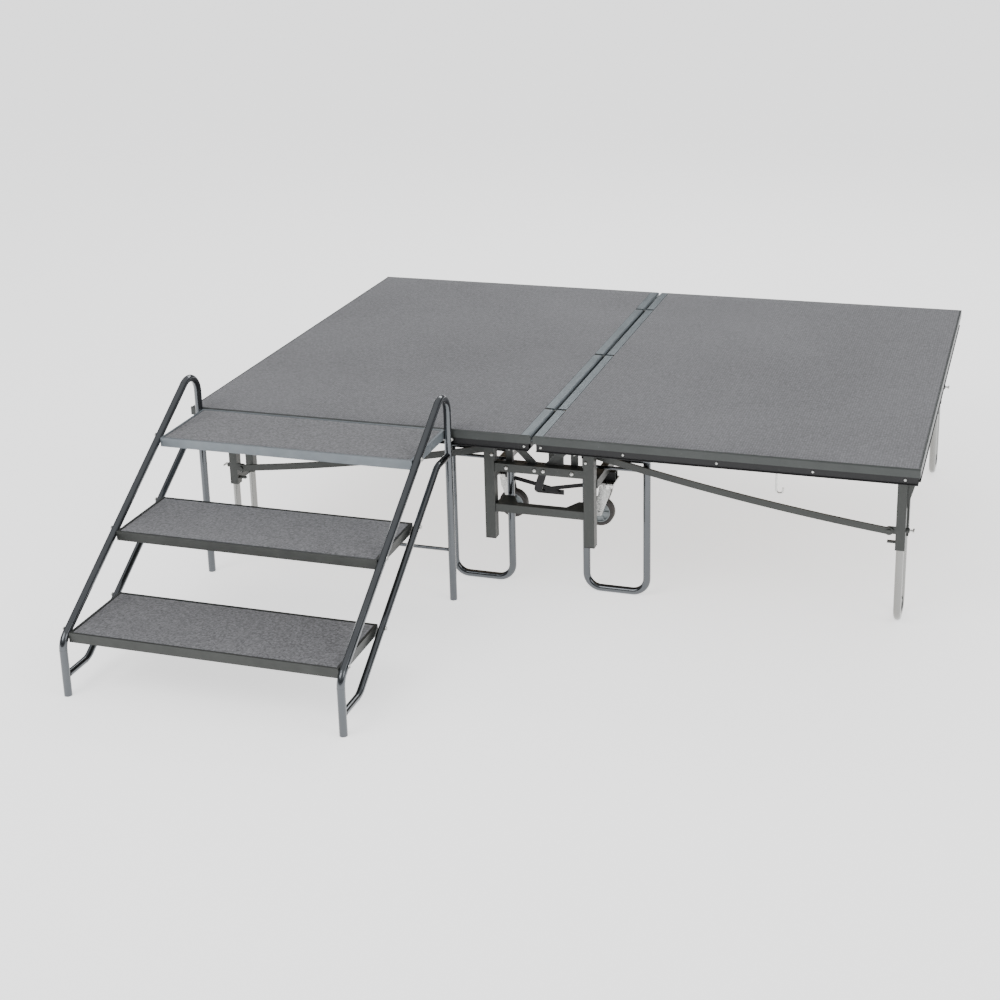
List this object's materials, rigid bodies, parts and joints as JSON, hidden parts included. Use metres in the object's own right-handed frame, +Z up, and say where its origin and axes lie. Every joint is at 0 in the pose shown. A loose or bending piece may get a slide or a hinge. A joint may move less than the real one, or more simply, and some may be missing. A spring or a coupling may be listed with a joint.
{
  "type": "stage riser platform",
  "caption": "Folding carpeted stage riser: a split deck hinged over a wheeled centre carriage, on tubular legs, with a free-standing carpeted stair.",
  "frame": {"origin": "on the floor, under the middle of the whole assembly's bounding box", "axes": "+Z up; +X to the right seen from the stair side; +Y from the stair towards the back of the deck"},
  "size_m": [2.44, 2.7997, 0.7386],
  "materials": {
    "frame_paint": "dark grey hammered powder coat",
    "black_paint": "satin black",
    "trim_paint": "dark grey, satin",
    "tread_paint": "grey, satin",
    "dark_chrome": "dark polished chrome",
    "bright_tube": "satin",
    "zinc": "zinc plated",
    "strip_metal": "satin extrusion",
    "carpet": "short grey needle-punch carpet",
    "plywood": "raw sheet",
    "black_plastic": "matte",
    "wheel_rubber": "dark tread"
  },
  "bodies": {
    "carriage": {"front_end_frame": "frame_paint", "rear_end_frame": "frame_paint", "hinge_struts": "frame_paint", "side_rails": "frame_paint", "cross_beams": "black_paint", "hinge_pedestals": "frame_paint", "hinge_rods": "zinc", "tie_links": "black_paint", "lift_springs": "zinc", "post_caps": "black_plastic", "frame_bolts": "zinc", "caster_plates": "zinc"},
    "left_deck": {"left_deck_panel": "plywood", "left_deck_carpet": "carpet", "left_deck_frame": "black_paint", "left_edge_trim": "trim_paint", "left_seam_strip": "strip_metal", "left_fasteners": "zinc"},
    "right_deck": {"right_deck_panel": "plywood", "right_deck_carpet": "carpet", "right_deck_frame": "black_paint", "right_edge_trim": "trim_paint", "right_seam_strip": "strip_metal", "right_fasteners": "zinc"},
    "stair": {"stair_left_side": "dark_chrome", "stair_right_side": "dark_chrome", "stair_cross_rod": "dark_chrome", "tread_frames": "tread_paint", "tread_carpets": "carpet", "stair_bolts": "zinc"},
    "left_front_u_leg": {"left_front_u_leg": "dark_chrome"},
    "left_rear_u_leg": {"left_rear_u_leg": "dark_chrome"},
    "right_front_u_leg": {"right_front_u_leg": "dark_chrome"},
    "right_rear_u_leg": {"right_rear_u_leg": "dark_chrome"},
    "left_front_leg_sleeve": {"left_front_leg_sleeve": "frame_paint"},
    "left_front_leg_loop": {"left_front_leg_loop": "bright_tube"},
    "left_front_leg_pin": {"left_front_leg_pin": "zinc"},
    "left_rear_leg_sleeve": {"left_rear_leg_sleeve": "frame_paint"},
    "left_rear_leg_loop": {"left_rear_leg_loop": "bright_tube"},
    "left_rear_leg_pin": {"left_rear_leg_pin": "zinc"},
    "right_front_leg_sleeve": {"right_front_leg_sleeve": "frame_paint"},
    "right_front_leg_loop": {"right_front_leg_loop": "bright_tube"},
    "right_front_leg_pin": {"right_front_leg_pin": "zinc"},
    "right_rear_leg_sleeve": {"right_rear_leg_sleeve": "frame_paint"},
    "right_rear_leg_loop": {"right_rear_leg_loop": "bright_tube"},
    "right_rear_leg_pin": {"right_rear_leg_pin": "zinc"},
    "left_front_brace": {"left_front_brace": "frame_paint"},
    "left_rear_brace": {"left_rear_brace": "frame_paint"},
    "right_front_brace": {"right_front_brace": "frame_paint"},
    "right_rear_brace": {"right_rear_brace": "frame_paint"},
    "left_front_caster_fork": {"left_front_caster_fork": "zinc"},
    "left_front_caster_wheel": {"left_front_caster_wheel": "wheel_rubber"},
    "left_rear_caster_fork": {"left_rear_caster_fork": "zinc"},
    "left_rear_caster_wheel": {"left_rear_caster_wheel": "wheel_rubber"},
    "right_front_caster_fork": {"right_front_caster_fork": "zinc"},
    "right_front_caster_wheel": {"right_front_caster_wheel": "wheel_rubber"},
    "right_rear_caster_fork": {"right_rear_caster_fork": "zinc"},
    "right_rear_caster_wheel": {"right_rear_caster_wheel": "wheel_rubber"},
    "storage_hook": {"storage_hook": "zinc"}
  },
  "joints": [
    {"name": "left_deck_fold", "type": "hinge", "parent": "carriage", "child": "left_deck", "pos_m": [-0.0165, 0.48475, 0.586], "axis": [0, 1, 0], "range_deg": [0, 90]},
    {"name": "right_deck_fold", "type": "hinge", "parent": "carriage", "child": "right_deck", "pos_m": [0.0165, 0.48475, 0.586], "axis": [0, -1, 0], "range_deg": [0, 90]},
    {"name": "left_front_u_leg_hinge", "type": "hinge", "parent": "left_deck", "child": "left_front_u_leg", "pos_m": [-0.16, -0.25325, 0.518], "axis": [0, 1, 0], "range_deg": [-90, 0]},
    {"name": "left_rear_u_leg_hinge", "type": "hinge", "parent": "left_deck", "child": "left_rear_u_leg", "pos_m": [-0.16, 1.22275, 0.518], "axis": [0, 1, 0], "range_deg": [-90, 0]},
    {"name": "right_front_u_leg_hinge", "type": "hinge", "parent": "right_deck", "child": "right_front_u_leg", "pos_m": [0.16, -0.25325, 0.518], "axis": [0, -1, 0], "range_deg": [-90, 0]},
    {"name": "right_rear_u_leg_hinge", "type": "hinge", "parent": "right_deck", "child": "right_rear_u_leg", "pos_m": [0.16, 1.22275, 0.518], "axis": [0, -1, 0], "range_deg": [-90, 0]},
    {"name": "left_front_outer_leg_hinge", "type": "hinge", "parent": "left_deck", "child": "left_front_leg_sleeve", "pos_m": [-1.157, -0.19775, 0.526], "axis": [0, 1, 0], "range_deg": [-90, 0]},
    {"name": "left_front_leg_loop_slide", "type": "slide", "parent": "left_front_leg_sleeve", "child": "left_front_leg_loop", "axis": [0, 0, -1], "range_m": [0, 0.11]},
    {"name": "left_front_leg_pin_pull", "type": "slide", "parent": "left_front_leg_sleeve", "child": "left_front_leg_pin", "axis": [-1, 0, 0], "range_m": [0, 0.01]},
    {"name": "left_rear_outer_leg_hinge", "type": "hinge", "parent": "left_deck", "child": "left_rear_leg_sleeve", "pos_m": [-1.157, 1.16725, 0.526], "axis": [0, 1, 0], "range_deg": [-90, 0]},
    {"name": "left_rear_leg_loop_slide", "type": "slide", "parent": "left_rear_leg_sleeve", "child": "left_rear_leg_loop", "axis": [0, 0, -1], "range_m": [0, 0.11]},
    {"name": "left_rear_leg_pin_pull", "type": "slide", "parent": "left_rear_leg_sleeve", "child": "left_rear_leg_pin", "axis": [-1, 0, 0], "range_m": [0, 0.01]},
    {"name": "right_front_outer_leg_hinge", "type": "hinge", "parent": "right_deck", "child": "right_front_leg_sleeve", "pos_m": [1.157, -0.19775, 0.526], "axis": [0, -1, 0], "range_deg": [-90, 0]},
    {"name": "right_front_leg_loop_slide", "type": "slide", "parent": "right_front_leg_sleeve", "child": "right_front_leg_loop", "axis": [0, 0, -1], "range_m": [0, 0.11]},
    {"name": "right_front_leg_pin_pull", "type": "slide", "parent": "right_front_leg_sleeve", "child": "right_front_leg_pin", "axis": [1, 0, 0], "range_m": [0, 0.01]},
    {"name": "right_rear_outer_leg_hinge", "type": "hinge", "parent": "right_deck", "child": "right_rear_leg_sleeve", "pos_m": [1.157, 1.16725, 0.526], "axis": [0, -1, 0], "range_deg": [-90, 0]},
    {"name": "right_rear_leg_loop_slide", "type": "slide", "parent": "right_rear_leg_sleeve", "child": "right_rear_leg_loop", "axis": [0, 0, -1], "range_m": [0, 0.11]},
    {"name": "right_rear_leg_pin_pull", "type": "slide", "parent": "right_rear_leg_sleeve", "child": "right_rear_leg_pin", "axis": [1, 0, 0], "range_m": [0, 0.01]},
    {"name": "left_front_brace_hinge", "type": "hinge", "parent": "carriage", "child": "left_front_brace", "pos_m": [-0.112, -0.28125, 0.509], "axis": [0, 1, 0], "range_deg": [0, 104]},
    {"name": "left_rear_brace_hinge", "type": "hinge", "parent": "carriage", "child": "left_rear_brace", "pos_m": [-0.112, 1.25075, 0.509], "axis": [0, 1, 0], "range_deg": [0, 104]},
    {"name": "right_front_brace_hinge", "type": "hinge", "parent": "carriage", "child": "right_front_brace", "pos_m": [0.112, -0.28125, 0.509], "axis": [0, -1, 0], "range_deg": [0, 104]},
    {"name": "right_rear_brace_hinge", "type": "hinge", "parent": "carriage", "child": "right_rear_brace", "pos_m": [0.112, 1.25075, 0.509], "axis": [0, -1, 0], "range_deg": [0, 104]},
    {"name": "left_front_caster_swivel", "type": "hinge", "parent": "carriage", "child": "left_front_caster_fork", "pos_m": [-0.175, -0.15525, 0.36], "axis": [0, 0, 1], "continuous": true},
    {"name": "left_front_wheel_spin", "type": "hinge", "parent": "left_front_caster_fork", "child": "left_front_caster_wheel", "pos_m": [-0.153, -0.15525, 0.25], "axis": [0, 1, 0], "continuous": true},
    {"name": "left_rear_caster_swivel", "type": "hinge", "parent": "carriage", "child": "left_rear_caster_fork", "pos_m": [-0.175, 1.12475, 0.36], "axis": [0, 0, 1], "continuous": true},
    {"name": "left_rear_wheel_spin", "type": "hinge", "parent": "left_rear_caster_fork", "child": "left_rear_caster_wheel", "pos_m": [-0.153, 1.12475, 0.25], "axis": [0, 1, 0], "continuous": true},
    {"name": "right_front_caster_swivel", "type": "hinge", "parent": "carriage", "child": "right_front_caster_fork", "pos_m": [0.175, -0.15525, 0.36], "axis": [0, 0, 1], "continuous": true},
    {"name": "right_front_wheel_spin", "type": "hinge", "parent": "right_front_caster_fork", "child": "right_front_caster_wheel", "pos_m": [0.153, -0.15525, 0.25], "axis": [0, 1, 0], "continuous": true},
    {"name": "right_rear_caster_swivel", "type": "hinge", "parent": "carriage", "child": "right_rear_caster_fork", "pos_m": [0.175, 1.12475, 0.36], "axis": [0, 0, 1], "continuous": true},
    {"name": "right_rear_wheel_spin", "type": "hinge", "parent": "right_rear_caster_fork", "child": "right_rear_caster_wheel", "pos_m": [0.153, 1.12475, 0.25], "axis": [0, 1, 0], "continuous": true},
    {"name": "hook_swing", "type": "hinge", "parent": "right_deck", "child": "storage_hook", "pos_m": [0.773, -0.33025, 0.534], "axis": [0, 1, 0], "range_deg": [-60, 60]},
    {"name": "stair_pull_away", "type": "slide", "parent": "carriage", "child": "stair", "axis": [0, -1, 0], "range_m": [0, 0.3]}
  ],
  "couplings": [
    {"joint": "right_deck_fold", "follows": "left_deck_fold", "ratio": 1},
    {"joint": "left_front_u_leg_hinge", "follows": "left_deck_fold", "ratio": -1},
    {"joint": "left_rear_u_leg_hinge", "follows": "left_deck_fold", "ratio": -1},
    {"joint": "right_front_u_leg_hinge", "follows": "left_deck_fold", "ratio": -1},
    {"joint": "right_rear_u_leg_hinge", "follows": "left_deck_fold", "ratio": -1},
    {"joint": "left_front_outer_leg_hinge", "follows": "left_deck_fold", "ratio": -1},
    {"joint": "left_rear_outer_leg_hinge", "follows": "left_deck_fold", "ratio": -1},
    {"joint": "right_front_outer_leg_hinge", "follows": "left_deck_fold", "ratio": -1},
    {"joint": "right_rear_outer_leg_hinge", "follows": "left_deck_fold", "ratio": -1},
    {"joint": "left_front_brace_hinge", "follows": "left_deck_fold", "ratio": 1.1549},
    {"joint": "left_rear_brace_hinge", "follows": "left_deck_fold", "ratio": 1.1549},
    {"joint": "right_front_brace_hinge", "follows": "left_deck_fold", "ratio": 1.1549},
    {"joint": "right_rear_brace_hinge", "follows": "left_deck_fold", "ratio": 1.1549}
  ]
}
